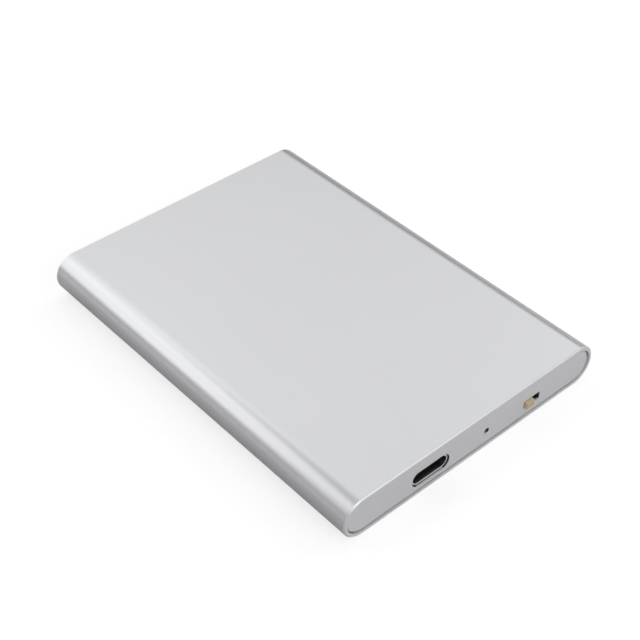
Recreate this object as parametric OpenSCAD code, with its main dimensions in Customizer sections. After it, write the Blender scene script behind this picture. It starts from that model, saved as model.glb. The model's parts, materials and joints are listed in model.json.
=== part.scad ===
// Portable solid state drive in an extruded aluminium sleeve.
// Millimetres, +Z up. The origin is the centre of the sleeve's underside.
// The connector end faces -Y, and the connector is on the -X side of it.

/* [Sleeve] */
// Width across the two rounded long sides
sleeve_w = 64.6; // [54:0.1:90]
// Length from the front rim to the rear rim
sleeve_l = 88.4; // [68:0.1:125]
// Height when it lies flat
sleeve_h = 9.1; // [8.4:0.1:11]
// Thickness of the extruded wall
wall_t = 0.8; // [0.6:0.05:0.9]
// Bright bevel cut round both rims
rim_bevel = 0.25; // [0.1:0.05:0.4]

/* [End panels] */
// Thickness of each end panel
panel_t = 0.5; // [0.4:0.1:1.2]
// Depth of the panel's face behind the rim
panel_recess = 0.25; // [0.1:0.05:0.6]
// Bevel round the outer edge of each panel
panel_bevel = 0.3; // [0.1:0.05:0.35]
// Gap between a panel or bracket and the sleeve's wall
panel_gap = 0.08; // [0.03:0.01:0.2]
// Thickness of the adhesive sheet behind each panel
adhesive_t = 0.15; // [0.05:0.05:0.3]
// Thickness of the plastic bracket behind each adhesive sheet
bracket_t = 1.9; // [1:0.1:2.4]

/* [Bracket screws] */
// Outer diameter of the screw bosses inside the sleeve
boss_d = 3; // [2.6:0.1:3.4]
// Distance from the sleeve's inner side wall to the boss centre
boss_inset = 2; // [1.8:0.1:3]
// Height of the boss centre above the underside
boss_z = 4.75; // [4.4:0.05:5.4]
// Diameter of the hole in each boss
boss_hole_d = 1.5; // [1.3:0.1:1.7]
// Diameter of the countersunk screw head
screw_head_d = 2.8; // [2.4:0.1:2.9]
// Length of each bracket screw
screw_l = 5; // [4:0.5:8]

/* [Main board] */
// Thickness of the main board
board_t = 1; // [0.8:0.1:1.2]
// Height of the board's underside above the sleeve's floor
board_lift = 0.3; // [0.25:0.05:0.6]
// Width of the board's edge that the sleeve's rails hold
rail_hold = 1.1; // [0.8:0.1:1.5]
// Gap round the board in its rails and between the brackets
board_gap = 0.12; // [0.05:0.01:0.3]

/* [Connector] */
// Place of the connector across the front, from the middle
port_x = -11.2; // [-14:0.1:-9]
// Outer width of the connector's steel shell
port_w = 8.94; // [8.94]
// Outer height of the connector's steel shell
port_h = 3.26; // [3.26]
// Width of the mouth inside the shell
mouth_w = 8.34; // [8.34]
// Height of the mouth inside the shell
mouth_h = 2.56; // [2.56]
// Length of the shell from mouth to back
port_l = 7.35; // [7.2:0.05:8]
// Gap between the shell and the panel's cut-out
port_gap = 0.2; // [0.1:0.05:0.4]
// Depth of the shell's mouth behind the panel's face
port_inset = 0.3; // [0:0.05:0.5]

/* [Slide switch] */
// Place of the middle of the knob's travel across the front
switch_x = 15.4; // [14:0.1:17]
// Travel of the knob
travel = 2; // [1.5:0.1:2.5]
// Width of the knob
knob_w = 2.05; // [1.5:0.05:2.5]
// Height of the knob
knob_h = 1.5; // [1.2:0.05:1.8]
// Distance that the knob stands out of the front panel
knob_out = 0.8; // [0.5:0.1:1.5]
// Gap between the knob and the edges of its slot
knob_gap = 0.12; // [0.08:0.01:0.2]
// Width of the switch's steel cover
switch_w = 8.6; // [8.6:0.1:10]
// Depth of the switch from front to back
switch_d = 3.4; // [3.4:0.1:4]
// Height of the switch
switch_h = 3.4; // [3.2:0.1:3.8]
// Thickness of the switch's steel cover
cover_t = 0.25; // [0.2:0.05:0.3]

/* [Indicator] */
// Place of the indicator hole across the front
led_x = 3.15; // [0:0.05:5]
// Height of the indicator hole above the main board
led_rise = 1.9; // [1.7:0.05:2.4]
// Diameter of the indicator hole
led_hole_d = 1.2; // [1:0.1:1.5]
// Gap all round the light guide's rod in the hole
guide_gap = 0.05; // [0.03:0.01:0.15]

/* [Memory module] */
// Width of the plug-in card
card_w = 22; // [22]
// Thickness of the plug-in card
card_t = 0.8; // [0.8]
// Space between the main board and the card
card_gap = 2.5; // [2.3:0.1:2.6]
// Height of the chips on the card
chip_h = 1.3; // [1:0.1:1.4]

/* [Hidden] */
$fn = 96;

// Sleeve and end stack
mid_z = sleeve_h / 2;
cavity_w = sleeve_w - 2 * wall_t;
cavity_h = sleeve_h - 2 * wall_t;
ceiling_z = sleeve_h - wall_t;
front_y = -sleeve_l / 2;
end_stack = panel_recess + panel_t + adhesive_t + bracket_t;
panel_y = front_y + panel_recess;
adhesive_y = panel_y + panel_t;
bracket_y = adhesive_y + adhesive_t;
inner_y = front_y + end_stack;
sheet_margin = 0.3;
bracket_port_gap = 0.15;
bracket_slot_gap = 0.25;
overcut = 1;

// Main board and the rails that hold it
board_z = wall_t + board_lift;
board_top = board_z + board_t;
cavity_r = cavity_h / 2;
board_half = (cavity_w - cavity_h) / 2 + sqrt(pow(cavity_r, 2) - pow(mid_z - board_z, 2)) - board_gap;
board_l = sleeve_l - 2 * end_stack - 2 * board_gap;
lip_top = board_top + 1.3;
boss_x = cavity_w / 2 - boss_inset;
strip_x = (card_w / 2 + board_half) / 2;

// Connector
port_z = board_top + port_h / 2;
mouth_y = panel_y + port_inset;
port_back_y = mouth_y + port_l;
tongue_w = 6.69;
tongue_t = 0.7;
tongue_y = mouth_y + 0.95;
port_base_y = mouth_y + 6.2;
port_base_t = 0.85;
contact_pitch = 0.5;
contact_count = 12;
contact_w = 0.25;
contact_t = 0.1;
shell_leg_t = 0.2;
shell_leg_w = 1;
shell_leg_inset = 0.06;
shell_leg_ys = [mouth_y + 3.9, mouth_y + 6.7];
leg_below = 0.1;
leg_slot_gap = 0.2;

// Slide switch
knob_z = board_top + 1.7;
switch_y = inner_y + 0.1;
switch_back_y = switch_y + switch_d;
slider_gap = 0.1;
slider_t = 1.1;
slider_w = switch_w - 2 * cover_t - travel - 0.8;
slider_h = switch_h - 2 * cover_t - 0.4;
slider_x = switch_x - travel / 2;
slider_y = switch_y + cover_t + slider_gap;
base_t = 1;
slot_w = knob_w + travel + 2 * knob_gap;
slot_h = knob_h + 2 * knob_gap;
knob_bevel = 0.12;
terminal_w = 0.8;
terminal_t = 0.2;
terminal_pitch = 2;
cover_leg_w = 0.9;
cover_leg_ys = [switch_y + 0.9, switch_y + 2.6];

// Indicator
led_z = board_top + led_rise;
guide_d = led_hole_d - 2 * guide_gap;
guide_y = inner_y + 0.5;
guide_size = [2.2, 2, led_rise + 0.7];
led_size = [1.6, 0.8, 0.6];

// Memory module: the card is the longest standard length that fits
CARD_LENGTHS = [42, 60, 80, 110];
socket_w = 21.9;
socket_d = 8.4;
socket_h = 4.1;
socket_y = port_back_y + 2.5;
socket_back_y = socket_y + socket_d;
edge_w = 19.85;
edge_l = 4;
card_z = board_top + card_gap;
card_top = card_z + card_t;
card_y = socket_back_y + 0.1 - edge_l;
screw_room = 3.4;
card_room = board_l / 2 - screw_room - card_y;
card_l = max([for (l = CARD_LENGTHS) if (l <= card_room) l]);
card_end_y = card_y + card_l;
key_x = 6.125;
key_w = 1.2;
key_l = 3.5;
card_notch_d = 3.5;
memory_size = [18, 12, chip_h];
memory_pitch = 13;
memory_start = 24.5;
memory_count = floor((card_l - memory_start - 3) / memory_pitch);
socket_contact_w = 0.2;
socket_contact_t = 0.12;
socket_slot_gap = 0.2;

// Chips beside the module
bridge_size = [9, 9, 0.9];
bridge_y = socket_y + 9.5;
bridge_pad = [12, 12];
inductor_size = [4, 4, 2];

// A round-ended outline, centred
module stadium(w, h) {
    square([w - h, h], center = true);
    for (side = [-1, 1])
        translate([side * (w - h) / 2, 0]) circle(d = h);
}

// A rectangle with rounded corners, centred
module rounded_rect(w, l, r) {
    square([w - 2 * r, l], center = true);
    square([w, l - 2 * r], center = true);
    for (sx = [-1, 1], sy = [-1, 1])
        translate([sx * (w / 2 - r), sy * (l / 2 - r)]) circle(r);
}

// Extrudes an X-Z outline along Y between two stations
module span_y(y0, y1) {
    translate([0, y1, 0]) rotate([90, 0, 0]) linear_extrude(y1 - y0) children();
}

// Extrudes a Y-Z outline along X, centred on x
module span_x(x, w) {
    translate([x - w / 2, 0, 0]) rotate([90, 0, 90]) linear_extrude(w) children();
}

// A block that stands on z and is centred on x, y
module block(size, pos) {
    translate([pos.x - size.x / 2, pos.y - size.y / 2, pos.z]) cube(size);
}

// A round-ended bar along Y with its front and back edges bevelled
module bevelled_bar(w, h, y0, y1, front, back) {
    r = h / 2;
    edge = concat(
        [[r - front, y0], [r, y0 + front]],
        back > 0 ? [[r, y1 - back], [r - back, y1]] : [[r, y1]]);
    last = len(edge) - 1;
    translate([0, 0, mid_z]) {
        span_x(0, w - h) polygon(concat(
            [for (p = edge) [p.y, p.x]],
            [for (i = [last:-1:0]) [edge[i].y, -edge[i].x]]));
        for (side = [-1, 1])
            translate([side * (w - h) / 2, 0, 0]) rotate([-90, 0, 0])
                rotate_extrude() polygon(concat([[0, y0]], edge, [[0, y1]]));
    }
}

// Boss, lip and ledge that stand on the sleeve's right inner wall
module side_ribs() {
    reach = boss_inset + wall_t;
    translate([boss_x, boss_z]) circle(d = boss_d);
    translate([boss_x, boss_z - 0.8]) square([reach, 1.6]);
    translate([board_half - rail_hold, board_top + board_gap])
        square([rail_hold + reach, lip_top - board_top - board_gap]);
    translate([board_half - rail_hold, 0]) square([rail_hold + reach, board_z]);
}

module cavity_outline(gap = 0) {
    translate([0, mid_z]) stadium(cavity_w - 2 * gap, cavity_h - 2 * gap);
}

module sleeve() {
    color("silver") difference() {
        bevelled_bar(sleeve_w, sleeve_h, front_y, -front_y, rim_bevel, rim_bevel);
        span_y(front_y - overcut, inner_y) cavity_outline();
        span_y(-inner_y, -front_y + overcut) cavity_outline();
        span_y(inner_y, -inner_y) difference() {
            cavity_outline();
            for (side = [0, 1]) mirror([side, 0]) side_ribs();
        }
        span_y(inner_y - overcut, -inner_y + overcut)
            for (side = [-1, 1]) translate([side * boss_x, boss_z]) circle(d = boss_hole_d);
    }
}

// Openings of the front end, grown by a margin, as an X-Z outline
module port_outline(grow) {
    translate([port_x, port_z]) stadium(port_w + 2 * grow, port_h + 2 * grow);
}

module slot_outline(grow) {
    translate([switch_x, knob_z]) rounded_rect(slot_w + 2 * grow, slot_h + 2 * grow, 0.2);
}

module end_panel() {
    bevelled_bar(cavity_w - 2 * panel_gap, cavity_h - 2 * panel_gap,
        panel_y, adhesive_y, panel_bevel, 0);
}

module front_panel() {
    color("silver") difference() {
        end_panel();
        span_y(panel_y - overcut, adhesive_y + overcut) {
            port_outline(port_gap);
            slot_outline(0);
            translate([led_x, led_z]) circle(d = led_hole_d);
        }
    }
}

module rear_panel() {
    color("silver") mirror([0, 1, 0]) end_panel();
}

module adhesive_sheet() {
    span_y(adhesive_y, bracket_y) cavity_outline(panel_gap + 0.4);
}

module front_adhesive() {
    color("dimgray") difference() {
        adhesive_sheet();
        span_y(adhesive_y - overcut, bracket_y + overcut) {
            port_outline(port_gap + sheet_margin);
            slot_outline(sheet_margin);
            translate([led_x, led_z]) circle(d = led_hole_d + 2 * sheet_margin);
        }
    }
}

module rear_adhesive() {
    color("dimgray") mirror([0, 1, 0]) adhesive_sheet();
}

// Plate with two countersunk holes, which screws onto the sleeve's bosses
module end_bracket() {
    difference() {
        span_y(bracket_y, inner_y) cavity_outline(panel_gap);
        for (side = [-1, 1])
            translate([side * boss_x, bracket_y, boss_z]) rotate([-90, 0, 0]) {
                translate([0, 0, -overcut]) cylinder(d = boss_hole_d + 0.2, h = bracket_t + 2 * overcut);
                translate([0, 0, -0.01]) cylinder(d1 = screw_head_d + 0.12, d2 = boss_hole_d + 0.12, h = 0.71);
            }
    }
}

module front_bracket() {
    color("dimgray") difference() {
        end_bracket();
        span_y(bracket_y - overcut, inner_y + overcut) {
            port_outline(bracket_port_gap);
            slot_outline(bracket_slot_gap);
            translate([led_x, led_z]) circle(d = guide_d + 2 * guide_gap);
        }
    }
}

module rear_bracket() {
    color("dimgray") mirror([0, 1, 0]) end_bracket();
}

// Countersunk screw along +Y with its head's face at y = 0 and a cross recess
module end_screw() {
    shank_d = boss_hole_d - 0.1;
    rotate([-90, 0, 0]) difference() {
        union() {
            cylinder(d1 = screw_head_d, d2 = shank_d, h = 0.7);
            cylinder(d = shank_d, h = screw_l - 0.4);
            translate([0, 0, screw_l - 0.4]) cylinder(d1 = shank_d, d2 = shank_d - 0.6, h = 0.4);
        }
        for (turn = [0, 90])
            rotate([0, 0, turn]) block([1.5, 0.3, 0.55 + overcut], [0, 0, -overcut]);
    }
}

module bracket_screws() {
    color("gainsboro")
        for (end = [0, 1], side = [-1, 1])
            mirror([0, end, 0]) translate([side * boss_x, bracket_y, boss_z]) end_screw();
}

module main_board() {
    leg_x = port_w / 2 - shell_leg_inset - shell_leg_t / 2;
    color("darkgreen") difference() {
        translate([0, 0, board_z]) linear_extrude(board_t) rounded_rect(2 * board_half, board_l, 0.8);
        for (y = shell_leg_ys, side = [-1, 1])
            leg_slot([shell_leg_t, shell_leg_w], [port_x + side * leg_x, y]);
        for (y = cover_leg_ys, side = [-1, 1])
            leg_slot([cover_t, cover_leg_w], [switch_x + side * (switch_w - cover_t) / 2, y]);
        translate([0, card_end_y, board_z - overcut]) cylinder(d = 3, h = board_t + 2 * overcut);
    }
}

// Round-ended slot in the main board for a steel leg
module leg_slot(leg, pos) {
    w = leg.x + 2 * leg_slot_gap;
    l = leg.y + 2 * leg_slot_gap;
    translate([pos.x, pos.y, board_z - overcut])
        linear_extrude(board_t + 2 * overcut) rotate(90) stadium(l, w);
}

module insulating_film() {
    film_t = 0.1;
    film_gap = 0.05;
    flat_half = (cavity_w - cavity_h) / 2;
    w = 2 * (min(board_half - rail_hold, flat_half) - film_gap);
    color("black", 0.6) difference() {
        translate([0, 0, wall_t]) linear_extrude(film_t) rounded_rect(w, board_l - 2, 1);
        block([bridge_pad.x + 0.6, bridge_pad.y + 0.6, 2 * overcut], [-strip_x, bridge_y, wall_t - overcut]);
    }
}

module usb_shell() {
    leg_x = port_w / 2 - shell_leg_inset - shell_leg_t / 2;
    leg_foot = board_z - leg_below;
    color("whitesmoke") difference() {
        union() {
            span_y(mouth_y, port_back_y) port_outline(0);
            for (y = shell_leg_ys, side = [-1, 1])
                block([shell_leg_t, shell_leg_w, port_z + 0.2 - leg_foot], [port_x + side * leg_x, y, leg_foot]);
        }
        span_y(mouth_y - overcut, port_back_y + overcut)
            translate([port_x, port_z]) stadium(mouth_w, mouth_h);
        block([contact_count * contact_pitch + 0.2, 2.4, 1], [port_x, port_back_y, board_top - 0.5]);
    }
}

// One contact strip of the connector as a Y-Z outline, upper or lower row
module port_contact(upper) {
    strip_y = tongue_y + 0.45;
    drop_y = upper ? port_base_y + port_base_t : port_base_y + 0.2;
    face_z = port_z + (upper ? tongue_t / 2 - contact_t : -tongue_t / 2);
    translate([strip_y, face_z]) square([drop_y + contact_t - strip_y, contact_t]);
    translate([drop_y, board_top]) square([contact_t, face_z + contact_t - board_top]);
    translate([drop_y, board_top]) square([upper ? 0.8 : 0.5, contact_t]);
}

module usb_contacts() {
    color("goldenrod")
        for (upper = [false, true], i = [0:contact_count - 1])
            span_x(port_x + (i - (contact_count - 1) / 2) * contact_pitch, contact_w) port_contact(upper);
}

// Steel plate inside the tongue, whose edges hold the plug's latches
module usb_latch_plate() {
    plate_t = 0.15;
    w = tongue_w - 0.1;
    y0 = tongue_y + 0.2;
    color("lightgray")
        block([w, port_base_y + 0.4 - y0, plate_t], [port_x, (y0 + port_base_y + 0.4) / 2, port_z - plate_t / 2]);
}

module usb_housing() {
    root_l = 1.5;
    root_t = 1.3;
    color("dimgray") difference() {
        union() {
            span_y(port_base_y, port_base_y + port_base_t)
                translate([port_x, port_z]) stadium(mouth_w - 0.04, mouth_h - 0.04);
            block([tongue_w, port_base_y - tongue_y, tongue_t],
                [port_x, (port_base_y + tongue_y) / 2, port_z - tongue_t / 2]);
            block([tongue_w, root_l, root_t], [port_x, port_base_y - root_l / 2, port_z - root_t / 2]);
        }
        usb_contacts();
        usb_latch_plate();
    }
}

module switch_cover() {
    z0 = board_top;
    side_x = (switch_w - cover_t) / 2;
    leg_foot = board_z - leg_below;
    color("lightgray") difference() {
        union() {
            block([switch_w, switch_d, switch_h], [switch_x, switch_y + switch_d / 2, z0]);
            for (y = cover_leg_ys, side = [-1, 1])
                block([cover_t, cover_leg_w, z0 + 1 - leg_foot], [switch_x + side * side_x, y, leg_foot]);
        }
        block([switch_w - 2 * cover_t, switch_d, switch_h - 2 * cover_t],
            [switch_x, switch_y + cover_t + switch_d / 2, z0 + cover_t]);
        span_y(switch_y - overcut, switch_y + cover_t + overcut) slot_outline(0);
    }
}

// One terminal of the switch as a Y-Z outline: contact face, tail and foot
module terminal_outline() {
    y0 = switch_back_y - base_t - 0.05;
    tail_y = switch_back_y + 0.4;
    z0 = knob_z - terminal_t / 2;
    translate([y0, z0]) square([tail_y + terminal_t - y0, terminal_t]);
    translate([tail_y, board_top]) square([terminal_t, z0 + terminal_t - board_top]);
    translate([tail_y, board_top]) square([0.9, terminal_t]);
}

module switch_terminals() {
    color("gainsboro")
        for (i = [-1:1]) span_x(switch_x + i * terminal_pitch, terminal_w) terminal_outline();
}

module switch_base() {
    play = 0.04;
    color("saddlebrown") difference() {
        block([switch_w - 2 * (cover_t + play), base_t, switch_h - 2 * (cover_t + play)],
            [switch_x, switch_back_y - base_t / 2, board_top + cover_t + play]);
        switch_terminals();
    }
}

// Knob and slide plate in one moulding, at the left end of the travel
module switch_slider() {
    tip_y = panel_y - knob_out;
    b = knob_bevel;
    kw = knob_w / 2;
    kh = knob_h / 2;
    color("burlywood") union() {
        block([slider_w, slider_t, slider_h], [slider_x, slider_y + slider_t / 2, knob_z - slider_h / 2]);
        intersection() {
            translate([slider_x, 0, knob_z - kh]) linear_extrude(knob_h)
                polygon([[-kw, slider_y + 0.5], [kw, slider_y + 0.5], [kw, tip_y + b],
                    [kw - b, tip_y], [b - kw, tip_y], [-kw, tip_y + b]]);
            span_x(slider_x, knob_w + 1)
                polygon([[slider_y + 0.5, knob_z - kh], [slider_y + 0.5, knob_z + kh], [tip_y + b, knob_z + kh],
                    [tip_y, knob_z + kh - b], [tip_y, knob_z + b - kh], [tip_y + b, knob_z - kh]]);
        }
    }
}

// Bronze clip behind the slide plate, with two round bows that bridge the terminals
module switch_wiper() {
    bow_r = 0.7;
    strip_t = 0.14;
    clip_h = 1.2;
    color("peru")
        translate([slider_x, slider_y + slider_t, knob_z - clip_h / 2]) linear_extrude(clip_h) {
            translate([-terminal_pitch / 2, 0])
                square([terminal_pitch, strip_t]);
            for (side = [-1, 1]) intersection() {
                translate([side * terminal_pitch / 2, 0]) difference() {
                    circle(bow_r);
                    circle(bow_r - strip_t);
                }
                translate([-slider_w / 2, 0]) square([slider_w, bow_r]);
            }
        }
}

module status_led() {
    color("white") union() {
        block([led_size.x, led_size.y, 0.25], [led_x, guide_y + guide_size.y / 2, board_top]);
        block([led_size.x - 0.4, led_size.y, led_size.z], [led_x, guide_y + guide_size.y / 2, board_top]);
    }
}

// Clear moulding: a foot over the lamp, a slanted mirror face and a rod to the front hole
module light_guide() {
    back_y = guide_y + guide_size.y;
    top_z = board_top + guide_size.z;
    mirror_cut = 0.9;
    rod_setback = 0.15;
    rod_y = bracket_y + rod_setback;
    color("slategray", 0.7) difference() {
        union() {
            span_x(led_x, guide_size.x)
                polygon([[guide_y, board_top], [back_y, board_top], [back_y, top_z - mirror_cut],
                    [back_y - mirror_cut, top_z], [guide_y, top_z]]);
            span_y(rod_y, guide_y + 0.4) translate([led_x, led_z]) circle(d = guide_d);
        }
        block([led_size.x + 0.2, led_size.y + 0.2, led_size.z + 0.15 + overcut],
            [led_x, guide_y + guide_size.y / 2, board_top - overcut]);
    }
}

// Chip package: a thin carrier with a slightly smaller moulded body on it
module package(size, pos) {
    carrier_t = min(0.26, size.z / 3);
    translate(pos) {
        block([size.x, size.y, carrier_t], [0, 0, 0]);
        linear_extrude(size.z) rounded_rect(size.x - 0.2, size.y - 0.2, 0.3);
    }
}

module bridge_chip() {
    color("black") package(bridge_size, [-strip_x, bridge_y, board_top]);
}

module board_thermal_pad() {
    color("lightblue") block([bridge_pad.x, bridge_pad.y, board_lift], [-strip_x, bridge_y, wall_t]);
}

module crystal() {
    color("silver") package([3.2, 2.5, 0.8], [-strip_x, bridge_y + 8, board_top]);
}

// Eight-lead memory chip: body and bent leads
module firmware_chip() {
    y = bridge_y + 14;
    lead = [0.4, 0.2];
    color("black") translate([-strip_x, y, board_top]) union() {
        block([3.9, 4.9, 1.35], [0, 0, 0.12]);
        for (side = [-1, 1], i = [-1.5:1.5]) {
            block([1, lead.x, lead.y], [side * 2.2, i * 1.27, 0.6]);
            block([lead.y, lead.x, 0.8], [side * 2.6, i * 1.27, 0]);
            block([0.6, lead.x, lead.y], [side * 2.8, i * 1.27, 0]);
        }
    }
}

module surge_arrays() {
    color("black")
        for (i = [0, 1])
            block([2.5, 1, 0.5], [port_x - port_w / 2 - 1.6, socket_y + 0.4 + 2 * i, board_top]);
}

module power_inductors() {
    color("dimgray")
        for (i = [0, 1])
            translate([strip_x + 2.6, socket_y + 7.5 + 8 * i, board_top])
                linear_extrude(inductor_size.z) rounded_rect(inductor_size.x, inductor_size.y, 0.8);
}

module power_regulators() {
    color("black")
        for (i = [0, 1])
            package([3, 3, 0.9], [strip_x - 3.2, socket_y + 7.5 + 8 * i, board_top]);
}

// Ceramic block with two slightly proud metal ends, long side along X
module chip_part(size, pos) {
    cap_l = size.x / 5;
    proud = 0.04;
    translate(pos) {
        block([size.x, size.y - 2 * proud, size.z - proud], [0, 0, 0]);
        for (side = [-1, 1])
            block([cap_l, size.y, size.z], [side * (size.x - cap_l) / 2, 0, 0]);
    }
}

module capacitors() {
    color("tan") {
        for (i = [0:2])
            chip_part([3.2, 1.6, 1.4], [strip_x, socket_y + 21.5 + 2.6 * i, board_top]);
        for (side = [-1, 1], i = [-2:2])
            chip_part([1, 0.5, 0.5], [-strip_x + side * 5.7, bridge_y + 1.5 * i, board_top]);
        for (i = [0:5])
            chip_part([1, 0.5, 0.5], [-7.5 + 3 * i, card_y + edge_l + 1.6, card_top]);
    }
}

module resistors() {
    color("black") {
        for (i = [0:3])
            chip_part([1, 0.5, 0.35], [-strip_x - 2.4 + 1.6 * i, bridge_y - 5.6, board_top]);
        for (i = [0:3])
            chip_part([1, 0.5, 0.35], [strip_x - 2.4 + 1.6 * i, socket_y + 3.4, board_top]);
    }
}

// Edge socket, open towards +Y, with a key rib and one wide channel for its contacts
module module_socket() {
    slot_z = card_z - socket_slot_gap;
    slot_full = card_t + 2 * socket_slot_gap;
    slot_depth = edge_l + 0.1;
    rib_y = socket_back_y - slot_depth;
    rib_end_y = card_y + key_l - 0.15;
    mid_y = (socket_y + socket_back_y) / 2;
    color("dimgray") difference() {
        union() {
            difference() {
                block([socket_w, socket_d, socket_h], [0, mid_y, board_top]);
                block([edge_w + 0.2, slot_depth + overcut, slot_full],
                    [0, socket_back_y + (overcut - slot_depth) / 2, slot_z]);
            }
            block([key_w - 0.2, rib_end_y - rib_y, slot_full + 0.2],
                [key_x, (rib_y + rib_end_y) / 2, slot_z - 0.1]);
        }
        block([edge_w - 0.4, socket_d - slot_depth + overcut, card_gap + card_t + socket_slot_gap],
            [0, socket_y - overcut + (socket_d - slot_depth + overcut) / 2, board_top - 0.001]);
    }
}

// One socket contact as a Y-Z outline: blade in the slot, drop and foot on the board
module socket_contact(upper) {
    blade_z = upper ? card_top + 0.04 : card_z - 0.04 - socket_contact_t;
    drop_y = socket_y + (upper ? 0.6 : 1.8);
    translate([drop_y, blade_z]) square([socket_back_y - 1 - drop_y, socket_contact_t]);
    translate([drop_y, board_top]) square([socket_contact_t, blade_z + socket_contact_t - board_top]);
    translate([drop_y - 0.7, board_top]) square([0.75, socket_contact_t]);
}

module module_socket_contacts() {
    color("goldenrod")
        for (upper = [false, true], i = [-18:18])
            if (abs(i * contact_pitch - key_x) > key_w)
                span_x(i * contact_pitch + (upper ? 0.25 : 0), socket_contact_w) socket_contact(upper);
}

module module_card() {
    body_l = card_l - edge_l;
    color("darkgreen") difference() {
        translate([0, 0, card_z]) linear_extrude(card_t) {
            translate([0, card_y + edge_l + body_l / 2]) rounded_rect(card_w, body_l, 0.4);
            translate([-edge_w / 2, card_y]) square([edge_w, edge_l + 1]);
        }
        block([key_w, key_l + overcut, card_t + 2 * overcut],
            [key_x, card_y + (key_l - overcut) / 2, card_z - overcut]);
        translate([0, card_end_y, card_z - overcut]) cylinder(d = card_notch_d, h = card_t + 2 * overcut);
    }
}

module module_power_chip() {
    color("black") package([4, 4, 0.9], [0, card_y + edge_l + 4.7, card_top]);
}

module module_controller() {
    color("black") package([11, 11, chip_h], [-4.2, card_y + 17, card_top]);
}

module module_cache() {
    color("black") package([7.5, 11, chip_h - 0.3], [6.2, card_y + 17, card_top]);
}

module module_memory() {
    color("black")
        for (i = [0:memory_count - 1])
            package(memory_size, [0, card_y + memory_start + memory_size.y / 2 + memory_pitch * i, card_top]);
}

module module_standoff() {
    color("goldenrod") translate([0, card_end_y, board_top]) difference() {
        union() {
            cylinder(d = 4.4, h = card_gap);
            translate([0, 0, 0.1 - board_t]) cylinder(d = 2.8, h = board_t);
        }
        translate([0, 0, -board_t]) cylinder(d = 1.6, h = board_t + card_gap + overcut);
    }
}

module module_screw() {
    head_h = 0.7;
    color("gainsboro") translate([0, card_end_y, card_top]) difference() {
        union() {
            cylinder(d = 4.6, h = head_h);
            translate([0, 0, -card_t + 0.1]) cylinder(d = 2.4, h = card_t);
            translate([0, 0, -card_t - 2]) cylinder(d = 1.5, h = card_t + 2);
        }
        for (turn = [0, 90])
            rotate([0, 0, turn]) block([2.2, 0.4, head_h], [0, 0, 0.3]);
    }
}

module module_thermal_pad() {
    y0 = card_y + 11.5;
    y1 = card_y + memory_start + memory_pitch * memory_count - 1;
    z0 = card_top + chip_h;
    color("lightblue") block([19, y1 - y0, ceiling_z - z0], [0, (y0 + y1) / 2, z0]);
}

sleeve();
front_panel();
rear_panel();
front_adhesive();
rear_adhesive();
front_bracket();
rear_bracket();
bracket_screws();
main_board();
insulating_film();
usb_shell();
usb_housing();
usb_contacts();
usb_latch_plate();
switch_cover();
switch_base();
switch_terminals();
switch_slider();
switch_wiper();
status_led();
light_guide();
bridge_chip();
board_thermal_pad();
crystal();
firmware_chip();
surge_arrays();
power_inductors();
power_regulators();
capacitors();
resistors();
module_socket();
module_socket_contacts();
module_card();
module_controller();
module_memory();
module_cache();
module_power_chip();
module_standoff();
module_screw();
module_thermal_pad();
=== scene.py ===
"""Studio scene of a portable solid state drive: finishes, fine pieces, floor, light and camera."""

import json
import logging
import math
from dataclasses import dataclass
from enum import Enum
from typing import ClassVar

import bmesh
import bpy
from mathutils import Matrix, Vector


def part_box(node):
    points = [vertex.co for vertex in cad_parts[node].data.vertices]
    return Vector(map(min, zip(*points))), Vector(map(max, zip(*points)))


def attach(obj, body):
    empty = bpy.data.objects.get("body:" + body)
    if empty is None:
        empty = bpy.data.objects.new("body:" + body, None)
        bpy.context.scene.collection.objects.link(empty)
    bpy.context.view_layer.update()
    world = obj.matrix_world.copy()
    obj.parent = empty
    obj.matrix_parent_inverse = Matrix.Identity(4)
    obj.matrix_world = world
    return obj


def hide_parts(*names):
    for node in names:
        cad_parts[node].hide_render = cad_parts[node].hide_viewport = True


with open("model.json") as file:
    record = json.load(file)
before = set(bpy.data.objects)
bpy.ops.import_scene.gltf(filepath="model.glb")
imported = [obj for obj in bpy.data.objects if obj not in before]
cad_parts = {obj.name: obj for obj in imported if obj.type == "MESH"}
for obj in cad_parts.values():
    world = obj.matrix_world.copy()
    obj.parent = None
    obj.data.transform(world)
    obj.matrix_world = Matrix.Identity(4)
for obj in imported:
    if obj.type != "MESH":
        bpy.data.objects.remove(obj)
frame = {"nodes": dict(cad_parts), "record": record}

LOG = logging.getLogger("drive_scene")
MM = 0.001
Colour = tuple[float, float, float]
Flat = tuple[float, float]
Source = tuple[bpy.types.Node, str]

WHITE = (1.0, 1.0, 1.0, 1.0)
# Edges that turn more than this many degrees stay sharp, and the same where edges are rounded.
SHARP_ANGLE = 40.0
ROUNDED_SHARP_ANGLE = 50.0


class Slot(Enum):
    """The record's material slots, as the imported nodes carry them."""

    SLEEVE = "anodised_shell"
    PANEL = "anodised_panel"
    ADHESIVE = "adhesive"
    BRACKET = "bracket_plastic"
    ZINC = "zinc_steel"
    BOARD = "circuit_board"
    FILM = "insulating_film"
    STEEL = "connector_steel"
    POLYMER = "connector_plastic"
    GOLD = "gold_contact"
    SWITCH_BASE = "switch_base_plastic"
    TINNED = "tinned_brass"
    KNOB = "knob_plastic"
    BRONZE = "bronze"
    LAMP = "lamp_body"
    GUIDE = "guide_plastic"
    CHIP = "chip_black"
    PAD = "thermal_pad"
    INDUCTOR = "inductor_grey"
    CERAMIC = "ceramic_tan"
    RESISTOR = "resistor_black"


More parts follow.
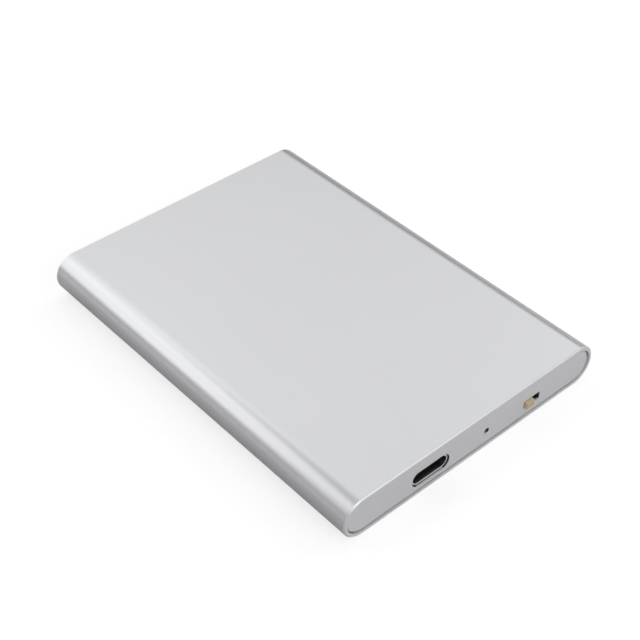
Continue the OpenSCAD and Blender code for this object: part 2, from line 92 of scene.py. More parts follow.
class NodeWirer:
    """Adds and links the nodes of one tree."""

    def __init__(self, tree: bpy.types.NodeTree) -> None:
        """Takes the tree to work on."""
        self.tree = tree

    def add(self, kind: str, **settings: object) -> bpy.types.Node:
        """Adds a node and sets its properties.

        Args:
            kind: The node's type.
            settings: The values of its properties, by name.

        Returns:
            The node.
        """
        node = self.tree.nodes.new(kind)
        for key, value in settings.items():
            setattr(node, key, value)
        return node

    def join(self, source: bpy.types.Node, output: str | int, target: bpy.types.Node,
             socket: str | int) -> None:
        """Links one node's output to another node's input, each by name or place."""
        self.tree.links.new(source.outputs[output], target.inputs[socket])

    def combine(self, operation: str, *sources: Source) -> bpy.types.Node:
        """Adds a Math node over other nodes' values.

        Args:
            operation: What it works out, such as MAXIMUM.
            sources: The node and the output that each of its inputs takes.

        Returns:
            The Math node.
        """
        node = self.add("ShaderNodeMath", operation=operation)
        for place, (source, output) in enumerate(sources):
            self.join(source, output, node, place)
        return node

    def reflected(self, rays: bpy.types.Node) -> bpy.types.Node:
        """Masks the rays of a Light Path node that come by way of a mirror or through glass."""
        return self.combine("MAXIMUM", (rays, "Is Glossy Ray"), (rays, "Is Transmission Ray"))


class NodeBoard(NodeWirer):
    """Wires the nodes of one material."""

    # Places of the Mix node's sockets for a mask, two colours and the mixed colour.
    MIX_MASK: ClassVar[int] = 0
    MIX_UNDER: ClassVar[int] = 6
    MIX_OVER: ClassVar[int] = 7
    MIX_COLOUR: ClassVar[int] = 2

    def __init__(self, name: str) -> None:
        """Starts a material that has only its surface.

        Args:
            name: The material's name.
        """
        self.material = bpy.data.materials.new(name)
        self.material.use_nodes = True
        super().__init__(self.material.node_tree)
        self.tree.nodes.clear()
        output = self.add("ShaderNodeOutputMaterial")
        self.surface = self.add("ShaderNodeBsdfPrincipled")
        self.join(self.surface, "BSDF", output, "Surface")
        self.place = self.add("ShaderNodeTexCoord")

    def noise(self, scale: float, detail: float = 4.0, roughness: float = 0.6) -> bpy.types.Node:
        """Adds a noise texture on Object coordinates.

        Args:
            scale: Waves per metre of the object.
            detail: How many finer layers the noise has.
            roughness: How strong the finer layers are.

        Returns:
            The noise node.
        """
        node = self.add("ShaderNodeTexNoise")
        node.inputs["Scale"].default_value = scale
        node.inputs["Detail"].default_value = detail
        node.inputs["Roughness"].default_value = roughness
        self.join(self.place, "Object", node, "Vector")
        return node

    def spread(self, source: bpy.types.Node, output: str, low: float, high: float) -> bpy.types.Node:
        """Maps a value from 0..1 onto a narrow band.

        Args:
            source: The node that gives the value.
            output: The name of its output.
            low: The band's lower end.
            high: The band's upper end.

        Returns:
            The Map Range node.
        """
        node = self.add("ShaderNodeMapRange")
        node.inputs["To Min"].default_value = low
        node.inputs["To Max"].default_value = high
        self.join(source, output, node, "Value")
        return node

    def tint(self, source: bpy.types.Node, output: str, dark: Colour, light: Colour) -> bpy.types.Node:
        """Adds a ramp between two colours.

        Args:
            source: The node that gives the ramp's place.
            output: The name of its output.
            dark: The colour at 0.
            light: The colour at 1.

        Returns:
            The colour ramp node.
        """
        node = self.add("ShaderNodeValToRGB")
        node.color_ramp.elements[0].color = (*dark, 1.0)
        node.color_ramp.elements[1].color = (*light, 1.0)
        self.join(source, output, node, "Fac")
        return node

    def axis_of(self, coordinate: str) -> bpy.types.Node:
        """Splits a texture coordinate into its axes.

        Args:
            coordinate: Normal or Object.

        Returns:
            The node that gives the axes.
        """
        split = self.add("ShaderNodeSeparateXYZ")
        self.join(self.place, coordinate, split, "Vector")
        return split

    def size_of(self, coordinate: str, axis: str) -> bpy.types.Node:
        """Adds the size of one axis of a texture coordinate, without its sign."""
        return self.combine("ABSOLUTE", (self.axis_of(coordinate), axis))

    def test(self, source: Source, operation: str, value: float, margin: float = 0.0) -> bpy.types.Node:
        """Adds a mask that is 1 where a value passes a test.

        Args:
            source: The node that gives the value, and its output.
            operation: GREATER_THAN, LESS_THAN or COMPARE.
            value: The number that it is compared with.
            margin: How far it may differ, for COMPARE.

        Returns:
            The node whose value is the mask.
        """
        node = self.combine(operation, source)
        node.inputs[1].default_value = value
        node.inputs[2].default_value = margin
        return node

    def blend(self, mask: bpy.types.Node, under: bpy.types.Node, output: str | int,
              over: Colour) -> bpy.types.Node:
        """Lays a colour over a coloured output where a mask is 1.

        Args:
            mask: The node whose value is the mask.
            under: The node that gives the colour below.
            output: The name or place of its output.
            over: The colour laid over it.

        Returns:
            The Mix node, whose colour is its output MIX_COLOUR.
        """
        node = self.add("ShaderNodeMix", data_type="RGBA")
        self.join(mask, "Value", node, self.MIX_MASK)
        self.join(under, output, node, self.MIX_UNDER)
        node.inputs[self.MIX_OVER].default_value = (*over, 1.0)
        return node

    def relief(self, source: bpy.types.Node, output: str, height: float, strength: float) -> None:
        """Adds a bump and joins it to the surface's normal.

        Args:
            source: The node that gives the height.
            output: The name of its output.
            height: The bump's distance in metres.
            strength: The bump's strength.
        """
        node = self.add("ShaderNodeBump")
        node.inputs["Distance"].default_value = height
        node.inputs["Strength"].default_value = strength
        self.join(source, output, node, "Height")
        self.join(node, "Normal", self.surface, "Normal")

    def level(self, socket: str, value: float) -> None:
        """Sets a number on the surface's own socket."""
        self.surface.inputs[socket].default_value = value


def shade(colour: Colour, factor: float) -> Colour:
    """The colour, lighter or darker by a factor."""
    return tuple(min(1.0, channel * factor) for channel in colour)


@dataclass(frozen=True)
class EndCutMetal:
    """Metal with a fine blasted grain, whose cut ends are finished otherwise and whose openings' walls
    can take a painted shade.

    Attributes:
        name: The material's name.
        colour: The colour of the long faces.
        end_colour: The colour of the ends, which face along Y.
        bevel_colour: The colour of a bevel cut round an end.
        painted_wall_shade: A painted shade, the colour laid on walls that run along Y where shade falls
            in openings.
        wall_up: Walls that face up more than this, towards the light above, keep the first colour and no
            painted shade.
        wall_from: Nearer the drive's middle than this, in metres, deeper in, all walls take the painted
            shade.
        metallic: Share of the metal's own reflection on the long faces.
        end_metallic: The same on the ends.
        bevel_metallic: The same on the bevel.
        roughness: Roughness of the long faces.
        end_roughness: Roughness of the ends.
        cloud: Scale, detail and roughness of the slow change of tone.
        cloud_depth: How far the tone changes.
        grain: Scale, detail and roughness of the grain.
        grain_height: Depth of the grain in metres.
        grain_strength: Strength of the grain.
    """

    name: str
    colour: Colour
    end_colour: Colour
    bevel_colour: Colour
    painted_wall_shade: Colour | None = None
    wall_up: float = 0.95
    wall_from: float = 0.0
    metallic: float = 1.0
    end_metallic: float = 0.35
    bevel_metallic: float = 0.6
    roughness: float = 0.33
    end_roughness: float = 0.45
    cloud: tuple[float, float, float] = (38.0, 3.0, 0.5)
    cloud_depth: float = 0.015
    grain: tuple[float, float, float] = (5200.0, 2.0, 0.5)
    grain_height: float = 0.000012
    grain_strength: float = 0.35

    # How far a face's normal turns towards Y: on an end, round a bevel's middle, and on a wall.
    END_LEAN: ClassVar[float] = 0.9
    BEVEL_LEAN: ClassVar[float] = math.sqrt(0.5)
    BEVEL_MARGIN: ClassVar[float] = 0.19
    WALL_LEAN: ClassVar[float] = 0.4

    def material(self) -> bpy.types.Material:
        """Builds the material.

        Returns:
            The material.
        """
        board = NodeBoard(self.name)
        lean = (board.size_of("Normal", "Y"), "Value")
        end = board.test(lean, "GREATER_THAN", self.END_LEAN)
        bevel = board.test(lean, "COMPARE", self.BEVEL_LEAN, self.BEVEL_MARGIN)
        tone = board.tint(board.noise(*self.cloud), "Fac", shade(self.colour, 1.0 - self.cloud_depth),
                          shade(self.colour, 1.0 + self.cloud_depth))
        colour = board.blend(end, tone, "Color", self.end_colour)
        colour = board.blend(bevel, colour, board.MIX_COLOUR, self.bevel_colour)
        # Painted shade: walls in openings that face away from the light, and all walls deeper in, are
        # darkened.
        if self.painted_wall_shade is not None:
            colour = board.blend(self.walls(board, lean), colour, board.MIX_COLOUR, self.painted_wall_shade)
        board.join(colour, board.MIX_COLOUR, board.surface, "Base Color")
        roughness = board.spread(end, "Value", self.roughness, self.end_roughness)
        board.join(roughness, "Result", board.surface, "Roughness")
        metal = board.combine(
            "MULTIPLY", (board.spread(end, "Value", self.metallic, self.end_metallic), "Result"),
            (board.spread(bevel, "Value", 1.0, self.bevel_metallic / self.metallic), "Result"))
        board.join(metal, "Value", board.surface, "Metallic")
        board.relief(board.noise(*self.grain), "Fac", self.grain_height, self.grain_strength)
        return board.material

    def walls(self, board: NodeBoard, lean: Source) -> bpy.types.Node:
        """Masks the walls that take the painted shade, where shade falls in openings.

        Args:
            board: The material.
            lean: The node and output that say how far a face turns towards Y.

        Returns:
            The node whose value is the mask.
        """
        turned = board.test((board.axis_of("Normal"), "Z"), "LESS_THAN", self.wall_up)
        inner = board.test((board.size_of("Object", "Y"), "Value"), "LESS_THAN", self.wall_from)
        either = board.combine("MAXIMUM", (turned, "Value"), (inner, "Value"))
        along = board.test(lean, "LESS_THAN", self.WALL_LEAN)
        return board.combine("MULTIPLY", (along, "Value"), (either, "Value"))


@dataclass(frozen=True)
class PlainMetal:
    """Plated or cast metal with a faint drawn grain.

    Attributes:
        name: The material's name.
        colour: The metal's colour.
        roughness: The middle of its roughness.
        grain: Waves per metre of the grain.
        tones: How dark and how light the grain makes the colour.
        band: How far the grain takes the roughness down and up.
        depth: Depth of the grain in metres.
        strength: Strength of the grain.
    """

    name: str
    colour: Colour
    roughness: float = 0.3
    grain: float = 2600.0
    tones: Flat = (0.94, 1.05)
    band: Flat = (-0.06, 0.08)
    depth: float = 0.000006
    strength: float = 0.2

    def material(self) -> bpy.types.Material:
        """Builds the material.

        Returns:
            The material.
        """
        board = NodeBoard(self.name)
        grain = board.noise(self.grain)
        tone = board.tint(grain, "Fac", *(shade(self.colour, factor) for factor in self.tones))
        board.join(tone, "Color", board.surface, "Base Color")
        band = board.spread(grain, "Fac", *(self.roughness + change for change in self.band))
        board.join(band, "Result", board.surface, "Roughness")
        board.level("Metallic", 1.0)
        board.relief(grain, "Fac", self.depth, self.strength)
        return board.material


@dataclass(frozen=True)
class Moulding:
    """Moulded plastic, resin or ceramic with a fine spark-eroded surface.

    Attributes:
        name: The material's name.
        colour: The plastic's colour.
        roughness: The middle of its roughness.
        grain: Waves per metre of the surface.
        depth: Depth of the surface in metres.
        strength: Strength of the surface.
        mottle: How far the colour varies.
        mottle_size: How many waves of the surface one wave of the colour takes.
        band: How far the grain takes the roughness down and up.
    """

    name: str
    colour: Colour
    roughness: float = 0.5
    grain: float = 3200.0
    depth: float = 0.000012
    strength: float = 0.3
    mottle: float = 0.06
    mottle_size: float = 9.0
    band: Flat = (-0.05, 0.07)

    def material(self) -> bpy.types.Material:
        """Builds the material.

        Returns:
            The material.
        """
        board = NodeBoard(self.name)
        grain = board.noise(self.grain)
        tone = board.tint(board.noise(self.grain / self.mottle_size), "Fac",
                          shade(self.colour, 1.0 - self.mottle), shade(self.colour, 1.0 + self.mottle))
        board.join(tone, "Color", board.surface, "Base Color")
        band = board.spread(grain, "Fac", *(self.roughness + change for change in self.band))
        board.join(band, "Result", board.surface, "Roughness")
        board.relief(grain, "Fac", self.depth, self.strength)
        return board.material


FINISHES = {
    Slot.SLEEVE: EndCutMetal(
        "sleeve_anodised", colour=(0.83, 0.835, 0.855), end_colour=(0.96, 0.965, 0.975),
        bevel_colour=(0.93, 0.935, 0.945), end_metallic=0.2),
    # Painted shade: the panel's cut-out walls are near black where they face away from the light and
    # deeper than its face.
    Slot.PANEL: EndCutMetal(
        "panel_anodised", colour=(0.88, 0.885, 0.905), end_colour=(0.95, 0.955, 0.975),
        bevel_colour=(0.85, 0.855, 0.87), painted_wall_shade=(0.1, 0.1, 0.105), wall_from=43.62 * MM,
        metallic=0.35, end_metallic=0.2, roughness=0.45),
    Slot.ADHESIVE: Moulding("adhesive_sheet", (0.09, 0.09, 0.09), 0.8),
    Slot.BRACKET: Moulding("bracket_nylon", (0.035, 0.035, 0.037), 0.55),
    Slot.ZINC: PlainMetal("zinc_plate", (0.66, 0.67, 0.69), 0.32),
    Slot.BOARD: Moulding("solder_mask", (0.012, 0.10, 0.035), 0.28, 900.0),
    Slot.FILM: Moulding("polyester_film", (0.02, 0.02, 0.02), 0.25),
    # Painted shade: the shell's walls along Y are darker than its plating, for the shade inside the
    # port's mouth.
    Slot.STEEL: EndCutMetal(
        "nickel_plate", colour=(0.5, 0.5, 0.51), end_colour=(0.95, 0.95, 0.955),
        bevel_colour=(0.95, 0.95, 0.955), painted_wall_shade=(0.3, 0.3, 0.305), wall_up=2.0,
        end_metallic=0.3, bevel_metallic=1.0, roughness=0.3, end_roughness=0.3),
    Slot.POLYMER: Moulding("crystal_polymer", (0.17, 0.17, 0.175), 0.5),
    Slot.GOLD: PlainMetal("gold_flash", (0.72, 0.56, 0.30), 0.28),
    Slot.SWITCH_BASE: Moulding("phenolic_base", (0.12, 0.05, 0.02), 0.6),
    Slot.TINNED: PlainMetal("tinned_brass", (0.70, 0.68, 0.62), 0.35),
    Slot.KNOB: Moulding("beige_nylon", (0.82, 0.64, 0.44), 0.45, 4200.0, 0.000008),
    Slot.BRONZE: PlainMetal("phosphor_bronze", (0.62, 0.36, 0.20), 0.3),
    Slot.LAMP: Moulding("lamp_ceramic", (0.82, 0.81, 0.76), 0.35),
    Slot.GUIDE: Moulding("smoked_guide", (0.012, 0.012, 0.013), 0.7),
    Slot.CHIP: Moulding("epoxy_package", (0.018, 0.018, 0.02), 0.62),
    Slot.PAD: Moulding("gap_filler", (0.30, 0.42, 0.55), 0.75, 1400.0, 0.00003),
    Slot.INDUCTOR: Moulding("pressed_iron", (0.09, 0.09, 0.095), 0.6),
    Slot.CERAMIC: Moulding("tan_ceramic", (0.40, 0.25, 0.13), 0.45),
    Slot.RESISTOR: Moulding("thick_film", (0.02, 0.02, 0.022), 0.4),
}


class Dresser:
    """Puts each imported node's finish on it."""

    def __init__(self) -> None:
        """Reads which slot each node carries."""
        rows = frame["record"]["subparts"]
        self.slots = {row["node"]: Slot(row["material_slot"]) for row in rows}
        self.made: dict[Slot, bpy.types.Material] = {}

    def material(self, slot: Slot) -> bpy.types.Material:
        """Gives the material of a slot, built on first use.

        Args:
            slot: The slot.

        Returns:
            Its material.
        """
        if slot not in self.made:
            self.made[slot] = FINISHES[slot].material()
        return self.made[slot]

    def dress(self) -> None:
        """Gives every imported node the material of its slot."""
        for name, piece in frame["nodes"].items():
            finish = self.material(self.slots[name])
            for place in piece.material_slots:
                place.material = finish
            LOG.info("%s wears %s", name, finish.name)


def linked(name: str, data: bpy.types.ID) -> bpy.types.Object:
    """Makes an object of a mesh, curve, lamp or camera and links it to the scene.

    Args:
        name: The object's name.
        data: What it shows.

    Returns:
        The object.
    """
    piece = bpy.data.objects.new(name, data)
    bpy.context.scene.collection.objects.link(piece)
    return piece


def mesh_of(build: bmesh.types.BMesh, name: str) -> bpy.types.Mesh:
    """Turns a finished build into a mesh.

    Args:
        build: The build, which is freed.
        name: The mesh's name.

    Returns:
        The mesh.
    """
    mesh = bpy.data.meshes.new(name)
    build.to_mesh(mesh)
    build.free()
    return mesh


def merged_copy(node: str, name: str, merge: float = 0.001 * MM,
                flat_angle: float = 0.5) -> bpy.types.Object:
    """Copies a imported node's mesh, merged and with its flat faces joined up.

    Args:
        node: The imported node's name.
        name: The new object's name.
        merge: Points nearer to each other than this, in metres, become one.
        flat_angle: Faces that turn less than this many degrees are joined up.

    Returns:
        The new object, linked to the scene.
    """
    build = bmesh.new()
    build.from_mesh(frame["nodes"][node].data)
    bmesh.ops.remove_doubles(build, verts=build.verts, dist=merge)
    bmesh.ops.dissolve_limit(build, angle_limit=math.radians(flat_angle), verts=build.verts,
                             edges=build.edges)
    return linked(name, mesh_of(build, name))


def outward(piece: bpy.types.Object) -> None:
    """Turns all of a piece's faces outwards.

    Args:
        piece: The piece, which is closed.
    """
    build = bmesh.new()
    build.from_mesh(piece.data)
    bmesh.ops.recalc_face_normals(build, faces=build.faces)
    build.to_mesh(piece.data)
    build.free()


def settle(piece: bpy.types.Object) -> None:
    """Turns a piece's modifiers into its plain mesh.

    Args:
        piece: The piece, with its modifiers set.
    """
    graph = bpy.context.evaluated_depsgraph_get()
    graph.update()
    result = bpy.data.meshes.new_from_object(piece.evaluated_get(graph), preserve_all_data_layers=True,
                                             depsgraph=graph)
    piece.modifiers.clear()
    piece.data = result
    result.name = piece.name


def bake(piece: bpy.types.Object, sharp_angle: float) -> bpy.types.Object:
    """Turns a piece's modifiers into its plain mesh and smooths it between its sharp edges.

    Args:
        piece: The piece, with its modifiers set.
        sharp_angle: The angle in degrees over which an edge stays sharp.

    Returns:
        The same piece.
    """
    settle(piece)
    piece.data.shade_smooth()
    piece.data.set_sharp_from_angle(angle=math.radians(sharp_angle))
    return piece


def weigh(piece: bpy.types.Object, weight: int = 100) -> bpy.types.Object:
    """Weighs a piece's normals by face size, so that flat faces shade flat beside fine roundings.

    Args:
        piece: The piece.
        weight: How much the large faces count, out of 100.

    Returns:
        The same piece.
    """
    level = piece.modifiers.new("weigh", "WEIGHTED_NORMAL")
    level.keep_sharp = True
    level.weight = weight
    settle(piece)
    return piece


def ease(piece: bpy.types.Object, width: float, segments: int, limit: float = 30.0) -> bpy.types.Object:
    """Rounds a piece's sharp edges and weighs its normals by face, then bakes it.

    Args:
        piece: The piece.
        width: The rounding's width in metres.
        segments: How many faces the rounding has.
        limit: Edges that turn less than this many degrees stay as they are.

    Returns:
        The same piece.
    """
    bevel = piece.modifiers.new("ease", "BEVEL")
    bevel.width = width
    bevel.segments = segments
    bevel.limit_method = "ANGLE"
    bevel.angle_limit = math.radians(limit)
    bevel.use_clamp_overlap = True
    return weigh(bake(piece, ROUNDED_SHARP_ANGLE))


class Port(Enum):
    """The kinds of input that the rule trees take."""

    LENGTH = "NodeSocketFloat"
    COUNT = "NodeSocketInt"
    PIECE = "NodeSocketObject"
    FINISH = "NodeSocketMaterial"


class RuleTree(NodeWirer):
    """Wires a Geometry Nodes tree and applies it to an object."""

    def __init__(self, name: str) -> None:
        """Starts a tree with one geometry input and one geometry output.

        Args:
            name: The tree's name.
        """
        super().__init__(bpy.data.node_groups.new(name, "GeometryNodeTree"))
        for way in ("INPUT", "OUTPUT"):
            self.tree.interface.new_socket("Geometry", in_out=way, socket_type="NodeSocketGeometry")
        self.entry = self.add("NodeGroupInput")
        self.exit = self.add("NodeGroupOutput")
        self.values: dict[str, object] = {}

    def ask(self, name: str, kind: Port, value: object) -> None:
        """Adds a named input and remembers the value that it gets.

        Args:
            name: The input's name.
            kind: What the input takes.
            value: The value that the piece gives it.
        """
        socket = self.tree.interface.new_socket(name, in_out="INPUT", socket_type=kind.value)
        self.values[socket.identifier] = value

    def feed(self, node: bpy.types.Node, **inputs: str) -> bpy.types.Node:
        """Joins the tree's named inputs to a node's sockets.

        Args:
            node: The node.
            inputs: For each of its sockets, the name of the input that it takes.

        Returns:
            The same node.
        """
        for socket, name in inputs.items():
            self.join(self.entry, name, node, socket)
        return node

    def finish(self, source: bpy.types.Node, output: str | int, finish_input: str) -> None:
        """Ends the tree in Realize Instances and Set Material.

        Args:
            source: The node that gives the last geometry.
            output: The name or place of its output.
            finish_input: The name of the input that gives the material.
        """
        real = self.add("GeometryNodeRealizeInstances")
        self.join(source, output, real, 0)
        coat = self.add("GeometryNodeSetMaterial")
        self.join(real, 0, coat, "Geometry")
        self.feed(coat, Material=finish_input)
        self.join(coat, 0, self.exit, 0)

    def apply(self, piece: bpy.types.Object, sharp_angle: float) -> bpy.types.Object:
        """Runs the tree on an object and bakes the result.

        Args:
            piece: The object whose mesh goes in.
            sharp_angle: The angle in degrees over which an edge stays sharp.

        Returns:
            The same object, with the result as its plain mesh.
        """
        modifier = piece.modifiers.new(self.tree.name, "NODES")
        modifier.node_group = self.tree
        for identifier, value in self.values.items():
            modifier[identifier] = value
        return bake(piece, sharp_angle)


def skin(build: bmesh.types.BMesh, first: list[bmesh.types.BMVert],
         second: list[bmesh.types.BMVert]) -> None:
    """Closes the band between two rings of points with a face for each step.

    Args:
        build: The mesh to add to.
        first: The points of one ring.
        second: The points of the other ring, in the same order.
    """
    for i in range(len(first)):
        j = (i + 1) % len(first)
        build.faces.new((first[j], first[i], second[i], second[j]))


def prism(build: bmesh.types.BMesh, outline: list[Flat], near: float, far: float) -> None:
    """Adds a closed prism along Y.

    Args:
        build: The mesh to add to.
        outline: The X-Z outline, anticlockwise as seen from -Y.
        near: The prism's front end.
        far: The prism's back end.
    """
    front, back = ([build.verts.new((x, y, z)) for x, z in outline] for y in (near, far))
    build.faces.new(front)
    build.faces.new(back[::-1])
    skin(build, front, back)


def tube(build: bmesh.types.BMesh, centre: Flat, outer: float, inner: float, near: float, far: float,
         steps: int = 32) -> None:
    """Adds a closed tube along Y.

    Args:
        build: The mesh to add to.
        centre: The tube's X and Z.
        outer: Its outer radius.
        inner: Its bore's radius.
        near: Its front end.
        far: Its back end.
        steps: How many faces go round it.
    """
    rings = []
    for radius, y in ((outer, near), (outer, far), (inner, far), (inner, near)):
        turns = [2 * math.pi * step / steps for step in range(steps)]
        rings.append([build.verts.new((centre[0] + radius * math.cos(turn), y,
                                       centre[1] + radius * math.sin(turn))) for turn in turns])
    for ring, following in zip(rings, rings[1:] + rings[:1]):
        skin(build, ring, following)


@dataclass
class SleeveExtrusion:
    """The drive's aluminium sleeve, swept round its own outline, with its screw bosses and rails.

    Attributes:
        width: Width across the two round sides.
        length: Length from rim to rim.
        height: Height when it lies flat.
        wall: Thickness of the wall.
        bevel: Bright bevel cut round both rims.
        edge: Fine rounding of the rims' edges.
        edge_steps: Faces in that rounding.
        arc_steps: Faces in each quarter of a round side.
        rib_y: Half the length of the bosses and rails.
        boss_at: The right boss's X and Z.
        boss_radius: The boss's radius.
        bore_radius: The radius of the hole in the boss.
        web: Outline of the right web that holds the boss, in millimetres.
        lip: Outline of the right rail over the board, in millimetres.
        ledge: Outline of the right rail under the board, in millimetres.
    """

    width: float = 64.6 * MM
    length: float = 88.4 * MM
    height: float = 9.1 * MM
    wall: float = 0.8 * MM
    bevel: float = 0.25 * MM
    edge: float = 0.035 * MM
    edge_steps: int = 3
    arc_steps: int = 40
    rib_y: float = 41.4 * MM
    boss_at: Flat = (29.5 * MM, 4.75 * MM)
    boss_radius: float = 1.5 * MM
    bore_radius: float = 0.75 * MM
    web: tuple[Flat, ...] = ((30.85, 3.95), (31.8, 3.95), (31.8, 5.55), (30.85, 5.55))
    lip: tuple[Flat, ...] = ((28.0, 2.22), (31.1, 2.22), (31.7, 3.4), (28.0, 3.4))
    ledge: tuple[Flat, ...] = ((28.0, 0.6), (29.4, 0.6), (29.5, 1.1), (28.0, 1.1))

    def section(self) -> bpy.types.Object:
        """Draws the wall's section along Y as a closed curve.

        Returns:
            The curve's object; its X runs outwards from the sleeve's outer face.
        """
        half, cut = self.length / 2, self.bevel
        points = ((0.0, -half + cut), (0.0, half - cut), (-cut, half), (-self.wall, half),
                  (-self.wall, -half), (-cut, -half))
        curve = bpy.data.curves.new("sleeve_section", "CURVE")
        curve.dimensions = "3D"
        line = curve.splines.new("POLY")
        line.points.add(len(points) - 1)
        for point, (x, y) in zip(line.points, points):
            point.co = (x, y, 0.0, 1.0)
        line.use_cyclic_u = True
        return linked("sleeve_section", curve)

    def ribs(self) -> bpy.types.Mesh:
        """Builds the bosses, webs and rails inside the sleeve.

        Returns:
            Their mesh.
        """
        build = bmesh.new()
        for side in (1.0, -1.0):
            centre = (side * self.boss_at[0], self.boss_at[1])
            tube(build, centre, self.boss_radius, self.bore_radius, -self.rib_y, self.rib_y)
            for outline in (self.web, self.lip, self.ledge):
                points = [(side * x * MM, z * MM) for x, z in outline]
                prism(build, points if side > 0 else points[::-1], -self.rib_y, self.rib_y)
        bmesh.ops.recalc_face_normals(build, faces=build.faces)
        return mesh_of(build, "sleeve_extrusion")

    def rule(self, section: bpy.types.Object, finish: bpy.types.Material) -> RuleTree:
        """Writes the rule that sweeps a section round the sleeve's outline and adds the ribs.

        Args:
            section: The wall's section.
            finish: The sleeve's material.

        Returns:
            The rule's tree.
        """
        low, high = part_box("sleeve")
        rule = RuleTree("sleeve_rule")
        rule.ask("Width", Port.LENGTH, min(self.width, high[0] - low[0]))
        rule.ask("Height", Port.LENGTH, self.height)
        rule.ask("Round", Port.LENGTH, self.height / 2)
        rule.ask("Arc Steps", Port.COUNT, self.arc_steps)
        rule.ask("Edge", Port.LENGTH, self.edge)
        rule.ask("Section", Port.PIECE, section)
        rule.ask("Finish", Port.FINISH, finish)
        outline = rule.feed(rule.add("GeometryNodeCurvePrimitiveQuadrilateral"), Width="Width",
                            Height="Height")
        rounded = rule.feed(rule.add("GeometryNodeFilletCurve", mode="POLY"), Radius="Round",
                            Count="Arc Steps")
        rounded.inputs["Limit Radius"].default_value = True
        rule.join(outline, 0, rounded, "Curve")
        wall = rule.feed(rule.add("GeometryNodeObjectInfo"), Object="Section")
        eased = rule.feed(rule.add("GeometryNodeFilletCurve", mode="POLY"), Radius="Edge")
        eased.inputs["Count"].default_value = self.edge_steps
        rule.join(wall, "Geometry", eased, "Curve")
        sweep = rule.add("GeometryNodeCurveToMesh")
        rule.join(rounded, 0, sweep, "Curve")
        rule.join(eased, 0, sweep, "Profile Curve")
        stand = rule.add("GeometryNodeTransform")
        stand.inputs["Rotation"].default_value = (math.pi / 2, 0.0, 0.0)
        stand.inputs["Translation"].default_value = (0.0, 0.0, self.height / 2)
        rule.join(sweep, 0, stand, "Geometry")
        whole = rule.add("GeometryNodeJoinGeometry")
        rule.join(stand, 0, whole, 0)
        rule.join(rule.entry, "Geometry", whole, 0)
        rule.finish(whole, 0, "Finish")
        return rule

    def build(self, finish: bpy.types.Material) -> bpy.types.Object:
        """Makes the sleeve.

        Args:
            finish: Its material.

        Returns:
            The sleeve.
        """
        section = self.section()
        start = linked("sleeve_extrusion", self.ribs())
        piece = self.rule(section, finish).apply(start, ROUNDED_SHARP_ANGLE)
        bpy.data.objects.remove(section)
        outward(piece)
        weigh(piece)
        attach(piece, "drive")
        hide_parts("sleeve")
        return piece


@dataclass
class EasedPiece:
    """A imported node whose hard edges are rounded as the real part's are.

    Attributes:
        node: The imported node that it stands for.
        name: The piece's name.
        body: The body that it rides on.
        slot: The material slot that it takes.
        width: The rounding's width in metres.
        segments: How many faces the rounding has.
    """

    node: str
    name: str
    body: str
    slot: Slot
    width: float
    segments: int = 2

    def build(self, finish: bpy.types.Material) -> bpy.types.Object:
        """Makes the piece.

        Args:
            finish: Its material.

        Returns:
            The piece.
        """
        piece = merged_copy(self.node, self.name)
        ease(piece, self.width, self.segments)
        piece.data.materials.clear()
        piece.data.materials.append(finish)
        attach(piece, self.body)
        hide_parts(self.node)
        return piece


EASED = (
    EasedPiece("front_panel", "front_plate", "drive", Slot.PANEL, 0.03 * MM),
    EasedPiece("rear_panel", "rear_plate", "drive", Slot.PANEL, 0.03 * MM),
    EasedPiece("usb_shell", "connector_shell", "drive", Slot.STEEL, 0.11 * MM, 3),
    EasedPiece("switch_slider", "knob_moulding", "slider", Slot.KNOB, 0.07 * MM, 3),
)


